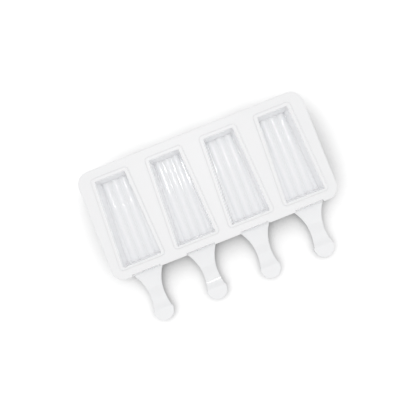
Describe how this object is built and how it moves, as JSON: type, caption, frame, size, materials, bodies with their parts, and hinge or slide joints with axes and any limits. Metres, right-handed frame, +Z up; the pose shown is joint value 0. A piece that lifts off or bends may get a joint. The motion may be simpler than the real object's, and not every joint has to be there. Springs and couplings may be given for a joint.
{
  "type": "cakesicle mould",
  "caption": "Flat silicone tray with a row of tapered, ridge-floored bar cavities, each with a stick slot and a waisted, round-ended tongue that carries the stick.",
  "frame": {"origin": "middle of the footprint, level with the underside of the cups", "axes": "+X along the row of cavities, -Y the way the tongues point, +Z up out of the cavities"},
  "size_m": [0.249, 0.174, 0.0236],
  "materials": {
    "silicone": "satin"
  },
  "bodies": {
    "root": {"silicone_mould": "silicone"}
  },
  "joints": []
}
